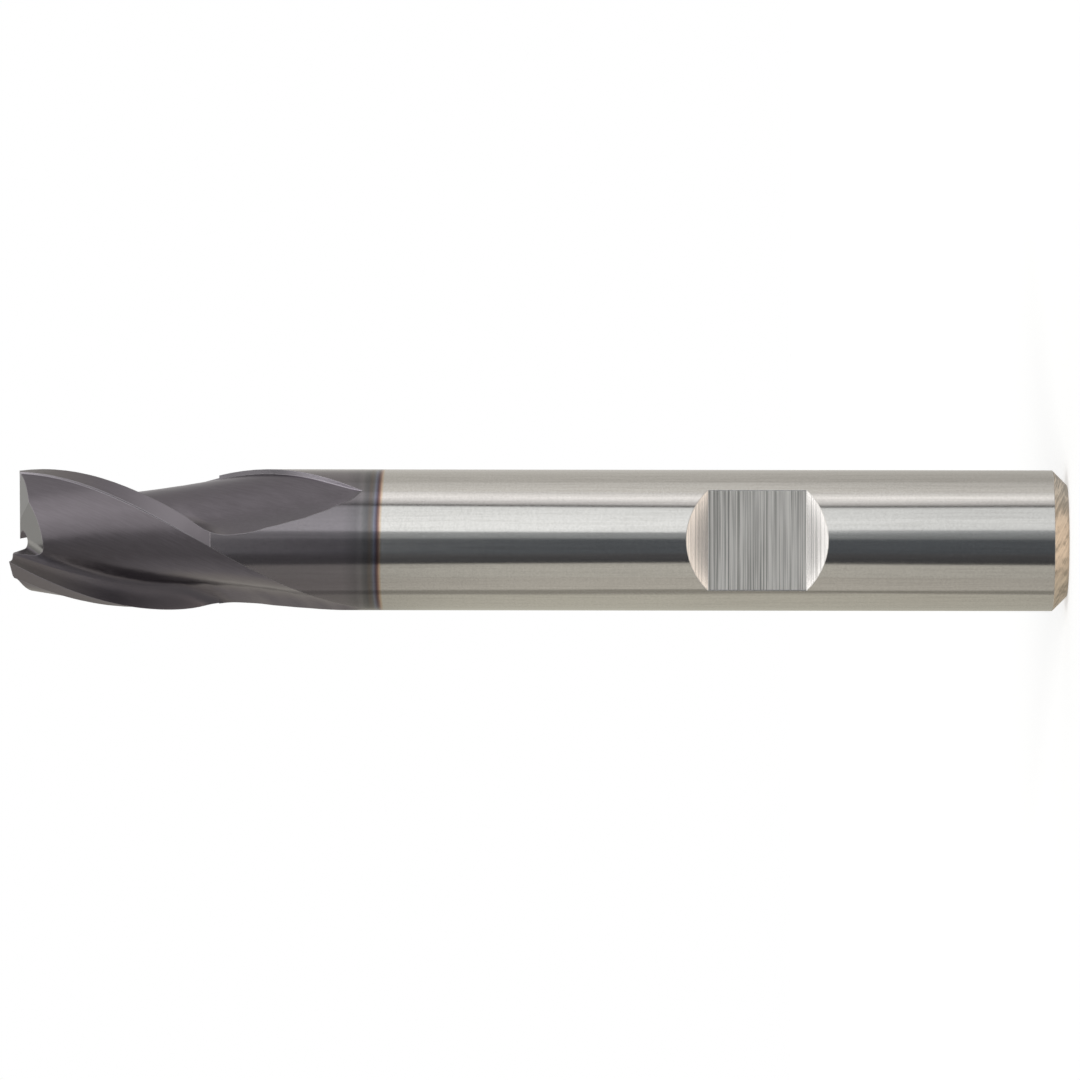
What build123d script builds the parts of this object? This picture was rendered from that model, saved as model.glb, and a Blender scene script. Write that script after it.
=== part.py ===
from build123d import *
from math import atan2, cos, degrees, hypot, radians, sin, sqrt, tan
import os

# Right-hand three-flute end mill, standing on its shank end with the tip up.
# Millimetres and degrees. Heights called "down" are measured from the tip.

# Blank
shank_diameter = 8.0
overall_length = 59.6
end_chamfer = 0.84

# Teeth
tooth_count = 3
first_tooth_angle = 11.6
helix_angle = 30.0
cutting_diameter = 7.98

# Flute outline, square to the axis
rake_angle = 10.0
root_radius = 0.8
core_radius = 2.4
back_radius = 3.6
heel_angle = 14.3
heel_depth = 0.27

# Flute run-out, where the grinding wheel leaves first at the rake and last at the heel
runout_start = 8.7
runout_slant = 0.0918
runout_radius = 3.52
runout_end = 21.0

# Land ground on each tooth behind the cutting edge
land_angle = 14.2
land_drop = 0.16
land_length = 11.3

# End teeth; the third gash is shallow at the axis, so the first tooth's edge stays whole to the centre
dish_angle = 2.0
end_relief_angle = 8.0
end_relief_width = 0.9
end_clearance_angle = 23.0
gash_depths = [1.0, 1.0, 0.09]
gash_angles = [17.0, 17.0, 35.0]
gash_floor_angles = [6.0, 6.0, 3.0]
gash_reach = 0.66
gash_exit_angle = 45.0
gash_exit_radius = 1.0
gash_root_radius = 0.4
gash_rake_angle = 6.0

# Clamping flat on the shank
flat_width = 5.55
flat_depth = 1.18
flat_center = 17.57
flat_ramp_angle = 44.0

# How far the cutters stand outside the blank, and the spacing of their sections
cutter_clearance = 1.2
cutter_overlap = 1.0
section_spacing = 1.5

# Points along the curved parts of the flute outline
root_points = 5
back_points = 8

# Sharpness of the bend where the lifted flute outline levels off outside the blank
lift_limit_power = 16

shank_radius = shank_diameter / 2
cutting_radius = cutting_diameter / 2
clear_radius = shank_radius + cutter_clearance
tooth_pitch = 360 / tooth_count
twist = degrees(tan(radians(helix_angle)) / shank_radius)


def polar(radius, angle):
    """Point in the XY plane from a radius and an angle in degrees."""
    return Vector(radius * cos(radians(angle)), radius * sin(radians(angle)))


def to_polar(point):
    """Angle in degrees and radius of a point."""
    return degrees(atan2(point.Y, point.X)), hypot(point.X, point.Y)


def arc_between(center, start, end, count, clockwise):
    """Evenly spaced points on an arc, the start point left out."""
    radius = (start - center).length
    first = to_polar(start - center)[0]
    sweep = (to_polar(end - center)[0] - first) % 360
    if clockwise:
        sweep -= 360
    return [center + polar(radius, first + sweep * i / count) for i in range(1, count + 1)]


def heights_down_to(depth):
    """Evenly spaced heights for cutter sections, from above the tip to the depth below it."""
    steps = round((cutter_overlap + depth) / section_spacing)
    return [-cutter_overlap + (cutter_overlap + depth) * i / steps for i in range(steps + 1)]


def flute_profile():
    """Polar points of the flute floor, from the cutting edge to the foot of the heel."""
    edge = polar(shank_radius, 0)
    inward = polar(1, 180 + rake_angle)
    ahead = polar(1, 90 + rake_angle)
    # The root arc touches the rake face on one side and the core circle below
    offset_edge = edge + ahead * root_radius
    along = offset_edge.dot(inward)
    reach = (core_radius + root_radius) ** 2 - offset_edge.dot(offset_edge)
    rake_depth = -along - sqrt(along ** 2 + reach)
    root_center = offset_edge + inward * rake_depth
    root_start = edge + inward * rake_depth
    # The back arc touches the root arc and ends at the foot of the heel
    heel_foot = polar(shank_radius - heel_depth, tooth_pitch - heel_angle)
    span = heel_foot - root_center
    near = back_radius + root_radius
    share = (near ** 2 - back_radius ** 2 + span.length ** 2) / (2 * span.length)
    side = sqrt(near ** 2 - share ** 2)
    unit = span / span.length
    back_center = root_center + unit * share + Vector(unit.Y, -unit.X) * -side
    join = root_center + (back_center - root_center) * (root_radius / near)
    points = [edge, edge + inward * (rake_depth / 2), root_start]
    points += arc_between(root_center, root_start, join, root_points, True)
    points += arc_between(back_center, join, heel_foot, back_points, False)
    return [to_polar(point) for point in points]


def flute_section(down, profile):
    """Closed outline of the flute cutter at one height, turned along the helix."""
    turn = -twist * down
    height = Vector(0, 0, overall_length - down)
    outer_radius = clear_radius + cutter_overlap
    lifted = []
    for angle, radius in profile:
        past = max(0, down - runout_start - runout_slant * angle)
        raised = radius + past ** 2 / (2 * runout_radius)
        limit = (1 + (raised / clear_radius) ** lift_limit_power) ** (-1 / lift_limit_power)
        lifted.append(polar(raised * limit, angle + turn) + height)
    rake_out = polar(outer_radius, rake_angle / 2 + turn) + height
    heel_out = polar(outer_radius, tooth_pitch - heel_angle + turn) + height
    beyond = polar(outer_radius + cutter_overlap, tooth_pitch / 2 + turn) + height
    return Wire([
        Edge.make_line(rake_out, lifted[0]),
        Edge.make_spline(lifted),
        Edge.make_line(lifted[-1], heel_out),
        Edge.make_three_point_arc(heel_out, beyond, rake_out),
    ])


def flute_cutter():
    """Lofted solid that the wheel removes ahead of the first tooth."""
    profile = flute_profile()
    return Solid.make_loft([flute_section(down, profile) for down in heights_down_to(runout_end)])


def land_section(down):
    """Outline of the thin wedge ground off behind the first cutting edge."""
    turn = -twist * down
    height = Vector(0, 0, overall_length - down)
    edge = polar(cutting_radius, turn)
    heel = polar(shank_radius - land_drop, turn - land_angle)
    along = (heel - edge).normalized() * cutter_overlap
    out_ahead = polar(clear_radius, turn)
    out_behind = polar(clear_radius, turn - 2 * land_angle)
    return Wire.make_polygon([point + height for point in (edge - along, heel + along, out_behind, out_ahead)])


def land_cutter():
    """Relief behind the first cutting edge, from above the tip to the end of the land."""
    return Solid.make_loft([land_section(down) for down in heights_down_to(land_length)])


def end_relief_cutter():
    """Primary relief and clearance behind the first end edge, over a third of the tip."""
    reach = shank_radius + cutter_overlap
    center_height = overall_length - shank_radius * tan(radians(dish_angle))
    step_height = center_height - end_relief_width * tan(radians(end_relief_angle))
    far_height = step_height - (reach - end_relief_width) * tan(radians(end_clearance_angle))
    low_start = Vector(-reach, 0, -reach * tan(radians(dish_angle)))
    profile = [
        Vector(0, 0, center_height),
        Vector(0, -end_relief_width, step_height),
        Vector(0, -reach, far_height),
        Vector(0, -reach, center_height + cutter_overlap),
        Vector(0, 0, center_height + cutter_overlap),
    ]
    face = Face(Wire.make_polygon([low_start + point for point in profile]))
    slab = Solid.extrude(face, low_start * -2)
    base = Vector(0, 0, overall_length - reach)
    corners = [Vector(0, 0)] + [polar(2 * reach, -tooth_pitch * share) for share in (0, 0.5, 1)]
    sector_face = Face(Wire.make_polygon([base + corner for corner in corners]))
    sector = Solid.extrude(sector_face, Vector(0, 0, 2 * reach))
    return slab & sector


def gash_cutter(depth, angle, floor_angle):
    """Groove ahead of the first end edge, its floor falling outward from a depth at the axis."""
    slope = tan(radians(angle))
    lean = tan(radians(gash_rake_angle))
    outer = shank_radius + cutter_overlap
    inner_depth = depth - gash_reach * slope
    exit_x = -gash_reach - (cutter_overlap + inner_depth) / tan(radians(gash_exit_angle))
    corners = [
        (outer, depth + outer * slope),
        (-gash_reach, inner_depth),
        (exit_x, -cutter_overlap),
        (outer, -cutter_overlap),
    ]
    outline = Wire.make_polygon([Vector(x, -down * lean, overall_length - down) for x, down in corners])
    turn_in = outline.vertices().sort_by_distance(Vector(-gash_reach, 0, overall_length - inner_depth))[0]
    wall = Face(outline.fillet_2d(gash_exit_radius, [turn_in]))
    width = 2 * outer
    groove = Solid.extrude(wall, Vector(0, width, width * tan(radians(floor_angle))))
    wall_edges = groove.faces().sort_by(Axis.Y)[0].edges()
    root_edges = wall_edges.sort_by(Axis.Z)[:-1].sort_by(Axis.X)[:-1]
    return groove.fillet(gash_root_radius, root_edges)


def clamping_flat_cutter():
    """Straight flat across the shank with a ramp at each end."""
    floor_y = -(shank_radius - flat_depth)
    outer_y = -(shank_radius + cutter_overlap)
    ramp = (flat_depth + cutter_overlap) / tan(radians(flat_ramp_angle))
    profile = Wire.make_polygon([
        Vector(-shank_diameter, floor_y, flat_center - flat_width / 2),
        Vector(-shank_diameter, floor_y, flat_center + flat_width / 2),
        Vector(-shank_diameter, outer_y, flat_center + flat_width / 2 + ramp),
        Vector(-shank_diameter, outer_y, flat_center - flat_width / 2 - ramp),
    ])
    return Solid.extrude(Face(profile), Vector(2 * shank_diameter, 0, 0))


def blank():
    """Ground rod with a chamfer round the shank end."""
    rod = Solid.make_cylinder(shank_radius, overall_length)
    return rod.chamfer(end_chamfer, None, [rod.edges().sort_by(Axis.Z)[0]])


def end_mill():
    """Blank with its flutes, lands, end teeth and clamping flat ground in turn."""
    body = blank() - clamping_flat_cutter()
    angles = [first_tooth_angle + tooth_pitch * index for index in range(tooth_count)]
    for cutter in [flute_cutter(), land_cutter(), end_relief_cutter()]:
        body = body.cut(*[cutter.rotate(Axis.Z, angle) for angle in angles])
    gashes = [gash_cutter(*sizes) for sizes in zip(gash_depths, gash_angles, gash_floor_angles)]
    return body.cut(*[gash.rotate(Axis.Z, angle) for gash, angle in zip(gashes, angles)])


os.makedirs("parts", exist_ok=True)
export_step(end_mill(), "parts/end_mill.step")
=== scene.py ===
from math import cos, radians, sin, tan
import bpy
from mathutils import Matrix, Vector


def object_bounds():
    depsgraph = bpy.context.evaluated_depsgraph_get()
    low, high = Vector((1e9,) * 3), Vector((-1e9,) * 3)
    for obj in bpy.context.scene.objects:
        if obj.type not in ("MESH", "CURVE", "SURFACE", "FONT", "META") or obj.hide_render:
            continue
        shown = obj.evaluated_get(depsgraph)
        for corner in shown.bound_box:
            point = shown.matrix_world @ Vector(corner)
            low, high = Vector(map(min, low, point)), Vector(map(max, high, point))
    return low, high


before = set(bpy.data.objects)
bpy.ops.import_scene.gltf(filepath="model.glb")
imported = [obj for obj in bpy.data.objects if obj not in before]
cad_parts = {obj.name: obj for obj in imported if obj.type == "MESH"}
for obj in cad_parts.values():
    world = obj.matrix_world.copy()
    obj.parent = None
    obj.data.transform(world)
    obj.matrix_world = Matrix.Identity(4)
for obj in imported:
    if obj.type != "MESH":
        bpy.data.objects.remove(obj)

from types import SimpleNamespace

import bpy
from mathutils import Matrix, Vector

# Looks, light and camera for a three-flute end mill that stands on its shank end.
# Metres and degrees; places in the material are in millimetres.

cad_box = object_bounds()

MM = 0.001

# Camera, as the photograph was taken: the tool lies along the picture, tip to the left
PICTURE_PIXELS = 1080
PIXELS_PER_MM = 17.6
FOCAL_PIXELS = 5800
HORIZON_PIXEL = 760
SHANK_END_PIXEL = 1066.6
AXIS_PIXEL = 540.33
CAMERA_ROLL = 0.00147
SENSOR_WIDTH = 36
NEAREST_SEEN = 0.01

# Teeth, in millimetres and degrees; the heel is where each flute ends on the next tooth
tool_length = (cad_box[1][2] - cad_box[0][2]) / MM
shank_radius = (cad_box[1][0] - cad_box[0][0]) / 2 / MM
TOOTH_PITCH = 120.0
HELIX_ANGLE = 30
HEEL_AT_TIP = 117.3
HEEL_HALF_WIDTH = 0.5
LAND_ANGLE = 14.6
LAND_LENGTH = 11.3
land_start = tool_length - LAND_LENGTH
twist = tan(radians(HELIX_ANGLE)) / shank_radius

# Heights of the zones of the surface, in millimetres
FLAT_ZONE_TOP = 24.0
END_ZONE_TOP = 2.0
COATING_EDGE = 38.675

# Distances down from the tip, in millimetres
END_TEETH_DEPTH = 2.2
LAND_TIP_START = 6.0
LAND_TIP_FULL = 1.5
LAND_FOOT_FULL = 8.0
LAND_FOOT_END = 5.0
LAND_ROUGH_FULL = 7.0

# Depths under the round shank, in millimetres, at which a ground surface begins and is full
GROUND_START = 0.02
FLAT_FULL = 0.04
FLUTE_FULL = 0.05
HEEL_DEPTH = 0.01

# Upward parts of the normal that tell the shank's chamfer, the flat's ramps and the end teeth
CHAMFER_SLOPE = -0.3
RAMP_SLOPE = 0.3
TEETH_SLOPE = 0.4

# Coating's edge: waver, tilt, and how far past it the coat is full and the flutes' own coat begins
COATING_WAVER = 0.12
WAVER_SCALE = 1.3
COATING_TILT = -0.018
COATING_FULL = 0.4
FLUTE_COAT_START = 1.0

# Edges as light sees them: their rounding in metres, and the cosines of full and no wear with painted edge
# highlight
EDGE_ROUNDING = 0.05 * MM
EDGE_SAMPLES = 6
WORN_HIGHLIGHT_LEVELS = (0.90, 0.995, 1.0, 0.0)

# Stretch of each kind of line along its three directions
RING_STRETCH = (1.6, 1.6, 9.0)
DRAWN_STRETCH = (6.0, 6.0, 0.18)
FLAT_LINE_STRETCH = (0.05, 1.0, 14.0)
FLAT_BAND_STRETCH = (0.15, 1.0, 2.2)
FLUTE_STRETCH = (1.0, 1.0, 0.10)
END_STRETCH = (1.0, 0.8, 0.8)
END_SLANT_ACROSS = 4.5
END_SLANT_ALONG = 9.0

# Bare metal of the shank, as linear colours
BARE_DARK = (0.63, 0.615, 0.59)
BARE_LIGHT = (0.69, 0.675, 0.65)
RING_LINE = (0.57, 0.555, 0.53)
DRAWN_LINE = (0.55, 0.535, 0.51)
GRAIN_LIGHT = (0.80, 0.785, 0.76)
GRAIN_DARK = (0.50, 0.485, 0.46)

# Clamping flat, its ramps and the stained skin on the shank's end
FLAT_DARK = (0.385, 0.380, 0.364)
FLAT_LIGHT = (0.955, 0.945, 0.912)
RAMP_DARK = (0.66, 0.65, 0.64)
RAMP_LIGHT = (0.97, 0.96, 0.95)
END_SKIN = (0.68, 0.59, 0.485)
END_STAIN = (0.41, 0.36, 0.295)
END_LIGHT = (0.83, 0.72, 0.59)

# Coated cutting end
COAT_DARK = (0.212, 0.194, 0.213)
COAT_LIGHT = (0.240, 0.221, 0.243)
LAND_FOOT_COAT = (0.256, 0.236, 0.257)
LAND_TIP_COAT = (0.205, 0.182, 0.178)
END_TEETH_COAT = (0.185, 0.184, 0.176)
# Painted highlight on the heel wall, scaled up from black
HEEL_PAINTED_HIGHLIGHT = (1.0, 0.96, 1.04)
BLACK = (0.0, 0.0, 0.0)

# Edges that wear and a painted highlight have brightened
WORN_HIGHLIGHT_BARE = (1.0, 0.98, 0.95)
WORN_HIGHLIGHT_COATED = (0.42, 0.40, 0.43)

# Shares of lines, bands, and wear with painted edge highlight in the colour
RING_SHARE = 0.30
FLAT_BAND_SHARE = 0.25
FLAT_LINE_SHARE = 0.85
WORN_HIGHLIGHT_SHARE = 0.9
WORN_HIGHLIGHT_END_SHARE = 0.15

# Two levels of a noise or a distance, and often the shares of a colour at both
DRAWN_LEVELS = (0.42, 0.66, 0.0, 0.45)
LIGHT_GRAIN_LEVELS = (0.40, 0.72, 0.0, 0.26)
DARK_GRAIN_LEVELS = (0.30, 0.46, 0.24, 0.0)
FLAT_LEVELS = (0.43, 0.62)
RAMP_LEVELS = (0.42, 0.62)
END_SHADE_LEVELS = (0.4, 2.4, 0.0, 0.16)
END_STAIN_LEVELS = (0.34, 0.56)
END_LINE_LEVELS = (0.40, 0.64, 0.0, 0.75)
END_SPECK_LEVELS = (0.30, 0.46, 0.25, 0.0)
END_RIM_LEVELS = (0.04, 0.20, 0.45, 0.0)
FLUTE_LEVELS = (0.3, 0.7)

# Heights and brightness of the painted highlight on the heel wall in the run-out, then its rise round the
# land's start
HEEL_HIGHLIGHT_LOW_LEVELS = (42.0, 45.0, 0.80, 0.22)
HEEL_HIGHLIGHT_RISE_START = 0.8
HEEL_HIGHLIGHT_RISE_END = 1.7
HEEL_HIGHLIGHT_RISE = 0.23

# Roughness, and where there are two values what the lines or spots add to it
SHANK_ROUGHNESS = (0.10, 0.05)
FLAT_ROUGHNESS = (0.38, 0.12)
COAT_ROUGHNESS = (0.12, 0.05)
FLUTE_ROUGHNESS = (0.25, 0.10)
RAMP_ROUGHNESS = 0.24
LAND_FOOT_ROUGHNESS = 0.30
LAND_TIP_ROUGHNESS = 0.46
END_ROUGHNESS = 0.48
HEEL_ROUGHNESS = 0.5
WORN_ROUGH_SHARE = 0.7

# Height of the lines and the grain, in micrometres
MICROMETRE = 1e-6
SHANK_RELIEF = 0.08
GRAIN_RELIEF = 0.10
FLAT_RELIEF = 2.0
RAMP_RELIEF = 0.4
FLUTE_RELIEF = 0.7
END_RELIEF = 3.0

# Parts of the reflection that aren't metallic
WORN_DULLNESS = 0.9
LAND_TIP_DULLNESS = 0.75
COAT_DULLNESS = 0.12

# Tints of the thinning coating, by millimetres from its edge: share of the bare metal's colour
FRINGE = [
    (0.00, (1.00, 1.00, 1.00)),
    (0.07, (0.97, 0.86, 0.74)),
    (0.13, (0.88, 0.66, 0.54)),
    (0.20, (0.44, 0.29, 0.25)),
    (0.29, (0.20, 0.14, 0.17)),
    (0.38, (0.24, 0.24, 0.33)),
    (0.45, (0.32, 0.34, 0.44)),
    (0.55, (0.28, 0.28, 0.29)),
    (0.68, (0.27, 0.24, 0.23)),
    (0.85, (0.23, 0.23, 0.25)),
    (1.02, (0.27, 0.27, 0.29)),
    (1.20, (0.35, 0.34, 0.37)),
    (1.50, (0.30, 0.29, 0.32)),
    (2.20, (0.37, 0.35, 0.39)),
]
FRINGE_SPAN = 2.2

# Floor, backdrop and lamp
FLOOR_REACH = 3.0
FLOOR_PAPER = (0.82, 0.82, 0.81)
FLOOR_LIFT = 0.50
BACKDROP = (1.0, 1.0, 1.0)
SOFT_LIGHT = 0.45
LAMP_WIDTH = 35
LAMP_STRENGTH = 0.8
LAMP_DIRECTION = (0, 1, -1)

# Surround: distance and height of its centre in metres, and its mesh steps in degrees
SURROUND_DISTANCE = 2.0
SURROUND_CENTER = 0.0174
AZIMUTH_STEP = 3.0
ELEVATION_STEP = 6.0

# Tints of the surround
NEUTRAL = (1.00, 0.985, 0.97)
WARM = (1.00, 0.96, 0.85)
WHITE = (0.98, 1.00, 1.01)
BLUE = (0.875, 0.965, 1.08)

# A panel is its name, first and last azimuth, tone at each and tint
# Azimuth goes round the tool from the camera towards the picture's top
# Panels level with the tool: the shank under the flat reflects the LOW ones
GREY_SIDE = [
    ("grey_far", 112, 180, 0.585, 0.66, (1.00, 0.97, 0.91)),
    ("grey_top", 86, 112, 0.86, 0.69, (1.00, 0.975, 0.93)),
]
WARM_SIDE = [
    ("warm_near", -64, -38, 0.60, 0.62, (1.00, 0.97, 0.88)),
    ("warm_mid", -90, -64, 0.62, 0.56, (1.00, 0.955, 0.86)),
    ("warm_line", -99, -90, 0.31, 0.36, (1.00, 0.95, 0.84)),
    ("warm_far", -180, -99, 0.54, 0.61, (1.00, 0.965, 0.84)),
]
WARM_SIDE_LOW = [
    ("dull_near", -64, -40.5, 0.60, 0.62, (1.00, 0.97, 0.88)),
    ("dull_mid", -90, -64, 0.62, 0.55, (1.00, 0.955, 0.86)),
    ("dull_line", -99, -90, 0.30, 0.34, (1.00, 0.95, 0.84)),
    ("dull_far", -180, -99, 0.56, 0.62, (1.00, 0.965, 0.84)),
]
FRONT = [
    ("soft_top", 76, 86, 1.22, 0.78, (1.00, 0.98, 0.97)),
    ("fade_top", 60, 76, 0.64, 1.36, (1.00, 0.98, 0.98)),
    ("gap_line", 56, 60, 0.11, 0.13, NEUTRAL),
    ("bright_far", 36, 56, 1.16, 1.06, WHITE),
    ("bright_near", 13, 36, 1.25, 1.18, WHITE),
    ("blue_edge", 2, 13, 0.34, 0.40, (0.95, 1.00, 1.03)),
    ("dark", -22, 2, 0.108, 0.106, BLUE),
    ("dark_low", -38, -22, 0.052, 0.100, (0.97, 0.97, 1.03)),
]
FRONT_LOW = [
    ("soft_low", 76, 86, 1.26, 0.84, (1.00, 0.98, 0.96)),
    ("fade_low", 60, 76, 0.57, 1.50, (1.00, 0.98, 0.97)),
    ("gap_low", 56, 60, 0.13, 0.15, NEUTRAL),
    ("bright_low", 36, 56, 1.00, 1.00, WHITE),
    ("bright_edge", 17, 36, 1.02, 1.14, WHITE),
    ("blue_low", 2, 17, 0.24, 0.46, (0.94, 0.99, 1.03)),
    ("black", -22, 2, 0.112, 0.124, BLUE),
    ("black_low", -40.5, -22, 0.050, 0.100, (0.97, 0.97, 1.03)),
]

# Rings from low to high, each with its elevations, the share of the tone at each, and its panels
RINGS = [
    [[(-90, 1.0), (-62, 1.0)], [
        ("below", -180, 180, 1.20, 1.20, (1.00, 0.88, 0.77)),
    ]],
    [[(-62, 1.0), (-20, 1.0), (-8, 0.9)], [
        ("low_end", 152, 180, 0.42, 0.55, NEUTRAL),
        ("low_bright", 114, 152, 0.85, 0.98, WHITE),
        ("low_side", 66, 114, 0.32, 0.40, NEUTRAL),
        ("low_front", -30, 66, 0.26, 0.32, NEUTRAL),
        ("low_dark", -112, -30, 0.26, 0.24, NEUTRAL),
        ("low_glow", -142, -112, 0.75, 0.88, WARM),
        ("low_back", -180, -142, 0.55, 0.40, WARM),
    ]],
    [[(-8, 0.84), (-3, 0.88), (-0.2, 0.96)], GREY_SIDE + WARM_SIDE_LOW + FRONT_LOW],
    [[(-0.2, 0.96), (1.5, 1.0), (3.7, 1.0)], GREY_SIDE + WARM_SIDE + FRONT],
    [[(3.7, 1.0), (7.2, 1.0)], GREY_SIDE + FRONT],
    [[(3.7, 1.0), (4.3, 0.72), (7.2, 0.72)], WARM_SIDE],
    [[(7.2, 1.0), (16, 1.0), (28, 1.2)], [
        ("raised_side", 62, 130, 0.50, 0.47, NEUTRAL),
        ("raised_end", 130, 180, 0.47, 0.84, NEUTRAL),
        ("raised_bright", 12, 62, 1.08, 0.76, NEUTRAL),
        ("raised_front", -21, 12, 0.74, 0.88, NEUTRAL),
        ("raised_dark", -78, -21, 0.19, 0.20, NEUTRAL),
        ("raised_dim", -118, -78, 0.46, 0.24, NEUTRAL),
        ("raised_warm", -180, -118, 0.60, 0.54, WARM),
    ]],
    [[(28, 1.0), (42, 1.2), (62, 1.55)], [
        ("high_side", 60, 180, 0.55, 0.70, NEUTRAL),
        ("high_front", -22, 60, 0.60, 0.62, NEUTRAL),
        ("high_dim", -80, -22, 0.34, 0.46, NEUTRAL),
        ("high_back", -180, -80, 0.62, 0.46, NEUTRAL),
    ]],
    [[(62, 1.0), (90, 1.0)], [
        ("above", -180, 180, 1.42, 1.42, (1.00, 0.975, 0.95)),
    ]],
]


def make_camera():
    """Camera level with the middle of the clamping flat, rolled so the tool lies on its side."""
    scene = bpy.context.scene
    data = bpy.data.cameras.new("view")
    camera = bpy.data.objects.new("view", data)
    scene.collection.objects.link(camera)
    right = Vector((sin(CAMERA_ROLL), 0, -cos(CAMERA_ROLL)))
    up = Vector((cos(CAMERA_ROLL), 0, sin(CAMERA_ROLL)))
    placed = Matrix((right, up, right.cross(up))).transposed().to_4x4()
    placed.translation = Vector((
        (AXIS_PIXEL - PICTURE_PIXELS / 2) / PIXELS_PER_MM * MM,
        -FOCAL_PIXELS / PIXELS_PER_MM * MM,
        (SHANK_END_PIXEL - HORIZON_PIXEL) / PIXELS_PER_MM * MM,
    ))
    camera.matrix_world = placed
    data.sensor_width = SENSOR_WIDTH
    data.lens = data.sensor_width * FOCAL_PIXELS / PICTURE_PIXELS
    data.shift_x = 0.5 - HORIZON_PIXEL / PICTURE_PIXELS
    data.clip_start = NEAREST_SEEN
    scene.camera = camera


class Graph:
    """Small helper that adds nodes to one tree and joins them."""

    def __init__(self, tree):
        self.tree = tree
        self.tree.nodes.clear()

    def add(self, kind, *links, **settings):
        """New node with its settings, its sockets linked or set."""
        node = self.tree.nodes.new(kind)
        for name, value in settings.items():
            setattr(node, name, value)
        for socket, value in links:
            self.put(node.inputs[socket], value)
        return node

    def put(self, socket, value):
        """Links a socket to another one, or sets its value."""
        if isinstance(value, bpy.types.NodeSocket):
            self.tree.links.new(value, socket)
        elif isinstance(value, tuple) and socket.type == "RGBA":
            socket.default_value = (*value, 1)
        else:
            socket.default_value = value

    def math(self, operation, *values):
        """Result of one sum on up to three values."""
        return self.add("ShaderNodeMath", *enumerate(values), operation=operation).outputs[0]

    def product(self, first, *others):
        """Product of several values, and so the overlap of several zones."""
        for other in others:
            first = self.math("MULTIPLY", first, other)
        return first

    def rising(self, value, start, factor):
        """Start, plus the value times a factor."""
        return self.math("MULTIPLY_ADD", value, factor, start)

    def above(self, value, limit):
        """One where the value is over the limit, and zero elsewhere."""
        return self.math("GREATER_THAN", value, limit)

    def below(self, value, limit):
        """One where the value is under the limit, and zero elsewhere."""
        return self.math("LESS_THAN", value, limit)

    def outside(self, zone):
        """What a zone leaves over."""
        return self.math("SUBTRACT", 1.0, zone)

    def span(self, value, low, high, to_low=0.0, to_high=1.0):
        """Value carried smoothly from one range to another and kept inside it."""
        links = (("Value", value), (1, low), (2, high), (3, to_low), (4, to_high))
        return self.add("ShaderNodeMapRange", *links, interpolation_type="SMOOTHSTEP").outputs[0]

    def blend(self, share, first, second, mode="MIX"):
        """Colour between two others."""
        links = ((0, share), (6, first), (7, second))
        return self.add("ShaderNodeMix", *links, data_type="RGBA", blend_type=mode).outputs[2]

    def mix(self, share, first, second):
        """Number between two others."""
        links = ((0, share), (2, first), (3, second))
        return self.add("ShaderNodeMix", *links, data_type="FLOAT").outputs[0]

    def vector(self, x, y, z):
        """Vector of three numbers."""
        return self.add("ShaderNodeCombineXYZ", (0, x), (1, y), (2, z)).outputs[0]

    def split(self, vector):
        """Three numbers of a vector."""
        return list(self.add("ShaderNodeSeparateXYZ", (0, vector)).outputs)

    def stretched(self, parts, stretch):
        """Vector of three numbers, each times its own factor."""
        return self.vector(*(self.math("MULTIPLY", part, factor) for part, factor in zip(parts, stretch)))

    def noise(self, place, scale=1.0, detail=2.0, roughness=0.5):
        """Soft noise from zero to one."""
        links = (("Vector", place), ("Scale", scale), ("Detail", detail), ("Roughness", roughness))
        return self.add("ShaderNodeTexNoise", *links).outputs["Fac"]


def find_place(g):
    """Place of the shaded point in millimetres and round the axis, and its normals."""
    metres = g.add("ShaderNodeTexCoord").outputs["Object"]
    per_metre = (1 / MM, 1 / MM, 1 / MM)
    millimetres = g.add("ShaderNodeVectorMath", (0, metres), (1, per_metre), operation="MULTIPLY").outputs[0]
    x, y, z = g.split(millimetres)
    radius = g.math("SQRT", g.math("ADD", g.math("MULTIPLY", x, x), g.math("MULTIPLY", y, y)))
    angle = g.math("ARCTAN2", y, x)
    turned = g.rising(z, angle, -twist)
    normal = g.add("ShaderNodeNewGeometry").outputs["True Normal"]
    soft_normal = g.add("ShaderNodeBevel", ("Radius", EDGE_ROUNDING), samples=EDGE_SAMPLES).outputs[0]
    return SimpleNamespace(millimetres=millimetres, x=x, y=y, z=z, radius=radius, angle=angle, turned=turned,
                           normal=normal, soft_normal=soft_normal, slope=g.split(normal)[2])


def past_coating_edge(g, at):
    """Millimetres past the coating's edge, which is a little tilted and wavy."""
    around = g.vector(g.math("COSINE", at.angle), g.math("SINE", at.angle), 0.0)
    waver = g.noise(around, scale=WAVER_SCALE)
    edge = g.rising(waver, COATING_EDGE - COATING_WAVER / 2, COATING_WAVER)
    edge = g.rising(at.x, edge, COATING_TILT)
    return g.math("SUBTRACT", at.z, edge)


def worn_and_highlit_edges(g, at):
    """Share of wear and painted edge highlight, where the rounded edge leans away from the real surface."""
    leaning = g.add("ShaderNodeVectorMath", (0, at.soft_normal), (1, at.normal), operation="DOT_PRODUCT")
    return g.span(leaning.outputs["Value"], *WORN_HIGHLIGHT_LEVELS)


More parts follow.
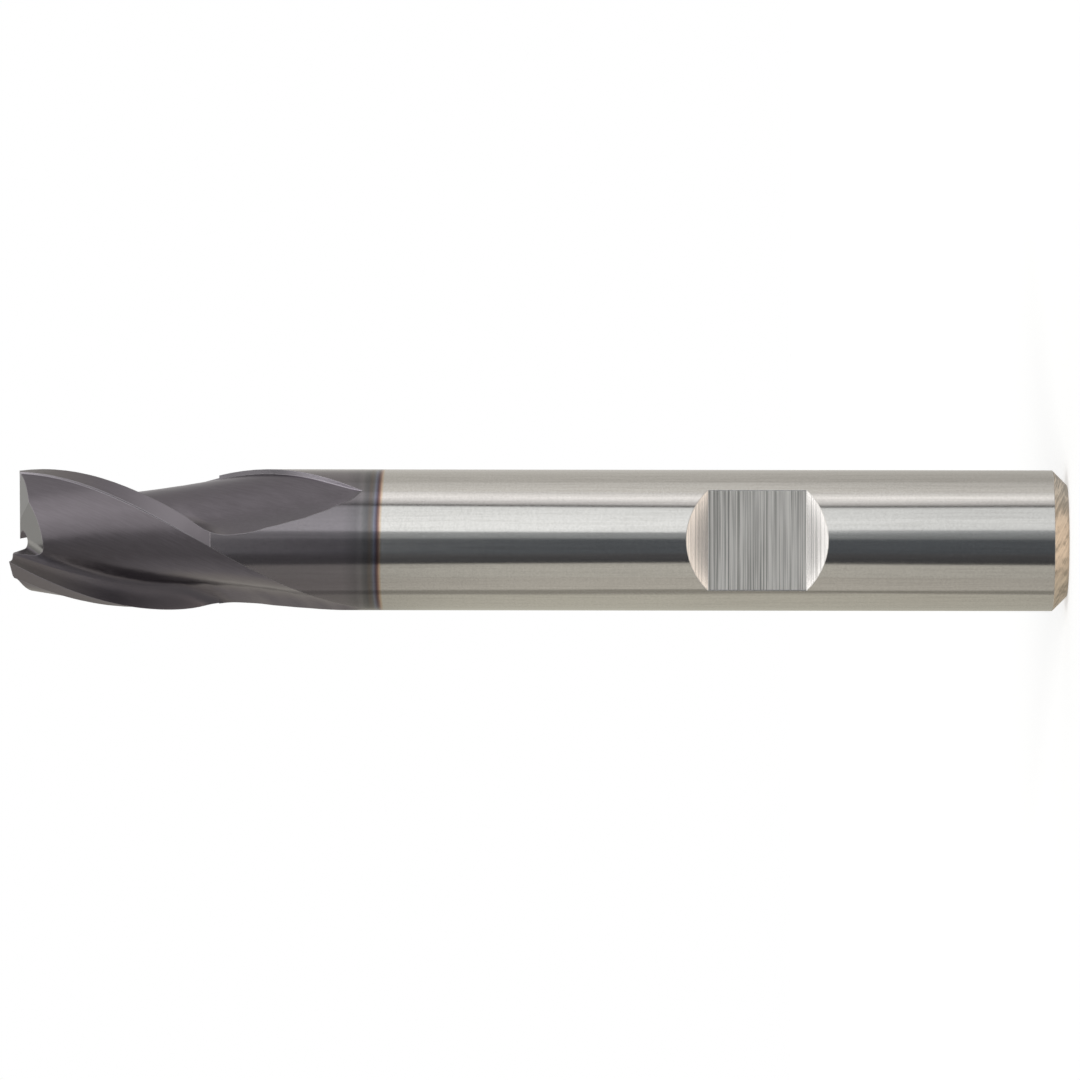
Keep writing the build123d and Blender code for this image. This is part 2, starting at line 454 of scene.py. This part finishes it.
def find_zones(g, at):
    """Shares of the tool's surfaces at the shaded point."""
    surface = shank_radius - GROUND_START
    in_flat = g.span(at.radius, shank_radius - FLAT_FULL, surface, 1.0, 0.0)
    in_flute = g.span(at.radius, shank_radius - FLUTE_FULL, surface, 1.0, 0.0)
    on_coating = g.above(at.z, COATING_EDGE)
    end = g.product(g.below(at.z, END_ZONE_TOP), g.below(at.slope, CHAMFER_SLOPE))
    flat = g.product(in_flat, g.below(at.z, FLAT_ZONE_TOP), g.outside(end))
    ramp = g.product(flat, g.above(g.math("ABSOLUTE", at.slope), RAMP_SLOPE))
    teeth = g.product(g.above(at.z, tool_length - END_TEETH_DEPTH), g.above(at.slope, TEETH_SLOPE))
    past_edge = past_coating_edge(g, at)
    return SimpleNamespace(
        end=end,
        flat=flat,
        ramp=ramp,
        teeth=teeth,
        on_coating=on_coating,
        fluted=g.product(in_flute, on_coating),
        past_edge=past_edge,
        coated=g.span(past_edge, 0.0, COATING_FULL),
        worn_and_highlit=worn_and_highlit_edges(g, at),
    )


def add_teeth_zones(g, at, zone):
    """Adds the heel wall and the land of each tooth to the zones."""
    heel_angle = radians(HEEL_AT_TIP) - twist * tool_length
    past_heel = g.math("DEGREES", g.math("SUBTRACT", at.turned, heel_angle))
    ahead = g.math("WRAP", past_heel, TOOTH_PITCH / 2, -TOOTH_PITCH / 2)
    at_heel = g.below(g.math("ABSOLUTE", ahead), HEEL_HALF_WIDTH)
    behind_edge = g.product(g.above(ahead, HEEL_HALF_WIDTH), g.below(ahead, LAND_ANGLE))
    tip_share = g.span(at.z, tool_length - LAND_TIP_START, tool_length - LAND_TIP_FULL)
    foot_share = g.span(at.z, tool_length - LAND_FOOT_FULL, tool_length - LAND_FOOT_END, 1.0, 0.0)
    zone.heel = g.product(at_heel, g.below(at.radius, shank_radius - HEEL_DEPTH), zone.on_coating)
    zone.land = g.product(behind_edge, g.above(at.z, land_start))
    zone.land_tip = g.product(zone.land, tip_share)
    zone.land_foot = g.product(zone.land, foot_share)


def make_noises(g, at):
    """Grinding lines, grain and blotches of every surface."""
    around = (g.math("COSINE", at.angle), g.math("SINE", at.angle), at.z)
    place = (at.x, at.y, at.z)
    unwound = (g.math("MULTIPLY", at.radius, g.math("COSINE", at.turned)),
               g.math("MULTIPLY", at.radius, g.math("SINE", at.turned)), at.z)
    slant = g.rising(at.x, g.math("MULTIPLY", at.z, END_SLANT_ALONG), END_SLANT_ACROSS)
    return SimpleNamespace(
        shank_lines=g.noise(g.stretched(around, RING_STRETCH), detail=3.0, roughness=0.6),
        drawn_lines=g.noise(g.stretched(place, DRAWN_STRETCH), detail=3.0, roughness=0.65),
        flat_lines=g.noise(g.stretched(place, FLAT_LINE_STRETCH), detail=3.0, roughness=0.85),
        flat_bands=g.noise(g.stretched(place, FLAT_BAND_STRETCH), detail=2.0, roughness=0.6),
        flute_lines=g.noise(g.stretched(unwound, FLUTE_STRETCH), scale=9.0, detail=4.0, roughness=0.7),
        end_lines=g.noise(g.stretched((slant, at.x, at.y), END_STRETCH), detail=3.0, roughness=0.65),
        mottle=g.noise(at.millimetres, scale=3.2, detail=3.0, roughness=0.6),
        grain=g.noise(at.millimetres, scale=9.0, detail=4.0, roughness=0.65),
        fine_grain=g.noise(at.millimetres, scale=8.0, detail=3.0, roughness=0.75),
        blotch=g.noise(at.millimetres, scale=1.6, detail=3.0, roughness=0.6),
    )


def bare_color(g, noise):
    """Ground metal of the shank, with its lines and grain."""
    color = g.blend(noise.mottle, BARE_DARK, BARE_LIGHT)
    color = g.blend(g.math("MULTIPLY", noise.shank_lines, RING_SHARE), color, RING_LINE)
    color = g.blend(g.span(noise.drawn_lines, *DRAWN_LEVELS), color, DRAWN_LINE)
    color = g.blend(g.span(noise.fine_grain, *LIGHT_GRAIN_LEVELS), color, GRAIN_LIGHT)
    return g.blend(g.span(noise.fine_grain, *DARK_GRAIN_LEVELS), color, GRAIN_DARK)


def flat_color(g, zone, noise):
    """Coarser ground clamping flat and its ramps."""
    lines = g.math("MULTIPLY", noise.flat_lines, FLAT_LINE_SHARE)
    tone = g.rising(noise.flat_bands, lines, FLAT_BAND_SHARE)
    flat = g.blend(g.span(tone, *FLAT_LEVELS), FLAT_DARK, FLAT_LIGHT)
    ramp = g.blend(g.span(tone, *RAMP_LEVELS), RAMP_DARK, RAMP_LIGHT)
    return g.blend(zone.ramp, flat, ramp)


def end_color(g, at, noise):
    """Stained skin on the shank's end, with painted shade towards +X, and darker at the lower rim."""
    # Painted shade: the stains are darkened towards +X
    stain_and_shade = g.math("SUBTRACT", noise.blotch, g.span(at.x, *END_SHADE_LEVELS))
    color = g.blend(g.span(stain_and_shade, *END_STAIN_LEVELS), END_STAIN, END_SKIN)
    color = g.blend(g.span(noise.end_lines, *END_LINE_LEVELS), color, END_LIGHT)
    color = g.blend(g.span(noise.grain, *END_SPECK_LEVELS), color, END_STAIN)
    return g.blend(g.span(at.z, *END_RIM_LEVELS), color, END_STAIN)


def heel_painted_light(g, at):
    """Painted highlight on the heel wall of each flute, bright low in the run-out and less so beside the
    land.
    """
    low = g.span(at.z, *HEEL_HIGHLIGHT_LOW_LEVELS)
    rise = g.span(at.z, land_start - HEEL_HIGHLIGHT_RISE_START, land_start + HEEL_HIGHLIGHT_RISE_END, 0.0, HEEL_HIGHLIGHT_RISE)
    return g.blend(g.math("ADD", low, rise), BLACK, HEEL_PAINTED_HIGHLIGHT)


def coating_tint(g, past_edge):
    """Colours that the thinning coating runs through at its edge."""
    fringe = g.add("ShaderNodeValToRGB", (0, g.math("DIVIDE", past_edge, FRINGE_SPAN)))
    stops = fringe.color_ramp.elements
    for index, (distance, tint) in enumerate(FRINGE):
        stop = stops[index] if index < len(stops) else stops.new(1.0)
        stop.position = distance / FRINGE_SPAN
        stop.color = (*tint, 1)
    return fringe.outputs[0]


def surface_color(g, at, zone, noise):
    """Colour of every surface of the tool."""
    color = g.blend(zone.flat, bare_color(g, noise), flat_color(g, zone, noise))
    color = g.blend(zone.end, color, end_color(g, at, noise))
    color = g.blend(1.0, color, coating_tint(g, zone.past_edge), mode="MULTIPLY")
    coat = g.blend(g.span(noise.flute_lines, *FLUTE_LEVELS), COAT_DARK, COAT_LIGHT)
    coat_share = g.product(zone.fluted, g.span(zone.past_edge, FLUTE_COAT_START, FRINGE_SPAN))
    color = g.blend(coat_share, color, coat)
    color = g.blend(zone.land_foot, color, LAND_FOOT_COAT)
    color = g.blend(zone.land_tip, color, LAND_TIP_COAT)
    color = g.blend(zone.teeth, color, END_TEETH_COAT)
    # The heel wall carries a painted highlight
    color = g.blend(zone.heel, color, heel_painted_light(g, at))
    # Edges are brightened by wear and by a painted highlight
    worn_highlight_color = g.blend(zone.coated, WORN_HIGHLIGHT_BARE, WORN_HIGHLIGHT_COATED)
    worn_highlight_share = g.mix(zone.end, WORN_HIGHLIGHT_SHARE, WORN_HIGHLIGHT_END_SHARE)
    return g.blend(g.product(zone.worn_and_highlit, worn_highlight_share), color, worn_highlight_color)


def surface_roughness(g, at, zone, noise):
    """Roughness of every surface of the tool."""
    land_rough_top = tool_length - LAND_ROUGH_FULL
    land = g.span(at.z, land_start, land_rough_top, LAND_FOOT_ROUGHNESS, LAND_TIP_ROUGHNESS)
    rough = g.rising(noise.shank_lines, *SHANK_ROUGHNESS)
    rough = g.mix(zone.flat, rough, g.rising(noise.flat_lines, *FLAT_ROUGHNESS))
    rough = g.mix(zone.ramp, rough, RAMP_ROUGHNESS)
    rough = g.mix(zone.coated, rough, g.rising(noise.mottle, *COAT_ROUGHNESS))
    rough = g.mix(zone.fluted, rough, g.rising(noise.flute_lines, *FLUTE_ROUGHNESS))
    rough = g.mix(zone.land, rough, land)
    rough = g.mix(zone.end, rough, END_ROUGHNESS)
    dull = g.math("MAXIMUM", zone.heel, g.math("MULTIPLY", zone.worn_and_highlit, WORN_ROUGH_SHARE))
    return g.mix(dull, rough, HEEL_ROUGHNESS)


def surface_relief(g, zone, noise):
    """Height of the grinding lines, in micrometres."""
    grain = g.math("MULTIPLY", noise.grain, GRAIN_RELIEF)
    end_grain = g.math("MULTIPLY", noise.grain, END_RELIEF)
    relief = g.rising(noise.shank_lines, grain, SHANK_RELIEF)
    relief = g.mix(zone.flat, relief, g.math("MULTIPLY", noise.flat_lines, FLAT_RELIEF))
    relief = g.mix(zone.ramp, relief, g.math("MULTIPLY", noise.flat_lines, RAMP_RELIEF))
    relief = g.mix(zone.fluted, relief, g.math("MULTIPLY", noise.flute_lines, FLUTE_RELIEF))
    return g.mix(zone.end, relief, g.rising(noise.end_lines, end_grain, END_RELIEF))


def surface_metal(g, zone):
    """How metallic every surface of the tool is."""
    haze = g.product(zone.coated, g.outside(zone.fluted))
    metal = g.outside(g.product(zone.worn_and_highlit, g.mix(zone.coated, WORN_DULLNESS, 0.0)))
    metal = g.product(metal, g.rising(zone.land_tip, 1.0, -LAND_TIP_DULLNESS))
    return g.product(metal, g.rising(haze, 1.0, -COAT_DULLNESS))


def ground_carbide():
    """Ground shank, flat, coated cutting end and stained shank end, in one material."""
    material = bpy.data.materials.new("ground_carbide_finish")
    material.use_nodes = True
    g = Graph(material.node_tree)
    at = find_place(g)
    zone = find_zones(g, at)
    add_teeth_zones(g, at, zone)
    noise = make_noises(g, at)
    bump = g.add("ShaderNodeBump",
                 ("Height", surface_relief(g, zone, noise)),
                 ("Strength", 1.0),
                 ("Distance", MICROMETRE),
                 ("Normal", at.soft_normal))
    shader = g.add("ShaderNodeBsdfPrincipled",
                   ("Base Color", surface_color(g, at, zone, noise)),
                   ("Metallic", surface_metal(g, zone)),
                   ("Roughness", surface_roughness(g, at, zone, noise)),
                   ("Normal", bump.outputs[0]))
    g.add("ShaderNodeOutputMaterial", (0, shader.outputs[0]))
    return material


def glow_material():
    """Plain light of the colour stored on the panel."""
    material = bpy.data.materials.new("panel_glow")
    material.use_nodes = True
    g = Graph(material.node_tree)
    tone = g.add("ShaderNodeVertexColor", layer_name="tone").outputs[0]
    glow = g.add("ShaderNodeEmission", (0, tone), (1, 1.0))
    g.add("ShaderNodeOutputMaterial", (0, glow.outputs[0]))
    return material


def only_reflected(piece):
    """Lets only reflections see the piece."""
    piece.visible_camera = False
    piece.visible_diffuse = False
    piece.visible_shadow = False
    piece.visible_transmission = False
    piece.visible_volume_scatter = False


def steps_between(low, high, step):
    """Evenly spaced values from low to high, both included."""
    count = max(1, round((high - low) / step))
    return [low + (high - low) * i / count for i in range(count + 1)]


def elevation_shares(levels):
    """Elevations up a ring, each with its share of the tone."""
    shares = []
    for (low, low_share), (high, high_share) in zip(levels, levels[1:]):
        for elevation in steps_between(low, high, ELEVATION_STEP):
            share = low_share + (high_share - low_share) * (elevation - low) / (high - low)
            shares.append((elevation, share))
    return shares


def surround_point(azimuth, elevation):
    """Point of the surround in one direction."""
    out = SURROUND_DISTANCE * cos(radians(elevation))
    height = SURROUND_CENTER + SURROUND_DISTANCE * sin(radians(elevation))
    return out * sin(radians(azimuth)), -out * cos(radians(azimuth)), height


def add_panel(panel, levels, material):
    """One curved panel of the surround, with a tone at each corner of its mesh."""
    name, start, end, tone_start, tone_end, tint = panel
    azimuths = steps_between(start, end, AZIMUTH_STEP)
    rows = elevation_shares(levels)
    points, tones, faces = [], [], []
    for azimuth in azimuths:
        tone = tone_start + (tone_end - tone_start) * (azimuth - start) / (end - start)
        for elevation, share in rows:
            points.append(surround_point(azimuth, elevation))
            tones.append(tuple(tone * share * part for part in tint))
    for i in range(len(azimuths) - 1):
        for j in range(len(rows) - 1):
            first = i * len(rows) + j
            faces.append((first, first + len(rows), first + len(rows) + 1, first + 1))
    mesh = bpy.data.meshes.new(name)
    mesh.from_pydata(points, [], faces)
    colors = mesh.color_attributes.new("tone", "FLOAT_COLOR", "POINT")
    for index, tone in enumerate(tones):
        colors.data[index].color = (*tone, 1)
    mesh.materials.append(material)
    piece = bpy.data.objects.new(name, mesh)
    bpy.context.scene.collection.objects.link(piece)
    only_reflected(piece)


def make_surround():
    """Every panel of every ring."""
    material = glow_material()
    for levels, panels in RINGS:
        for panel in panels:
            add_panel(panel, levels, material)


def floor_material():
    """Pale paper, lifted towards white where the camera sees it."""
    material = bpy.data.materials.new("floor_paper")
    material.use_nodes = True
    g = Graph(material.node_tree)
    seen = g.add("ShaderNodeLightPath").outputs["Is Camera Ray"]
    paper = g.add("ShaderNodeBsdfDiffuse", (0, FLOOR_PAPER))
    lift = g.add("ShaderNodeEmission", (0, BACKDROP), (1, g.math("MULTIPLY", seen, FLOOR_LIFT)))
    both = g.add("ShaderNodeAddShader", (0, paper.outputs[0]), (1, lift.outputs[0]))
    g.add("ShaderNodeOutputMaterial", (0, both.outputs[0]))
    return material


def make_floor():
    """Plain pale floor that keeps the tool's shadow."""
    mesh = bpy.data.meshes.new("floor")
    corners = [(1, 1), (-1, 1), (-1, -1), (1, -1)]
    mesh.from_pydata([(x * FLOOR_REACH, y * FLOOR_REACH, 0) for x, y in corners], [], [(0, 1, 2, 3)])
    floor = bpy.data.objects.new("floor", mesh)
    bpy.context.scene.collection.objects.link(floor)
    floor.visible_glossy = False
    mesh.materials.append(floor_material())


def make_world():
    """White backdrop for the camera and for reflections, soft even light for the rest."""
    world = bpy.data.worlds.new("studio")
    world.use_nodes = True
    g = Graph(world.node_tree)
    path = g.add("ShaderNodeLightPath").outputs
    reflected = g.math("MAXIMUM", path["Is Glossy Ray"], path["Is Transmission Ray"])
    seen = g.math("MAXIMUM", path["Is Camera Ray"], reflected)
    sky = g.add("ShaderNodeBackground", (0, BACKDROP), (1, g.mix(seen, SOFT_LIGHT, 1.0)))
    g.add("ShaderNodeOutputWorld", (0, sky.outputs[0]))
    bpy.context.scene.world = world


def make_lamp():
    """Soft light from behind the camera, which gives the floor its shadow."""
    data = bpy.data.lights.new("soft_lamp", "SUN")
    data.angle = radians(LAMP_WIDTH)
    data.energy = LAMP_STRENGTH
    lamp = bpy.data.objects.new("soft_lamp", data)
    lamp.rotation_euler = Vector(LAMP_DIRECTION).to_track_quat("-Z", "Y").to_euler()
    lamp.visible_glossy = False
    bpy.context.scene.collection.objects.link(lamp)


make_camera()
make_world()
make_lamp()
make_floor()
make_surround()

tool_finish = ground_carbide()
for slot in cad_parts["end_mill"].material_slots:
    slot.material = tool_finish

bpy.context.scene.view_settings.view_transform = "Standard"
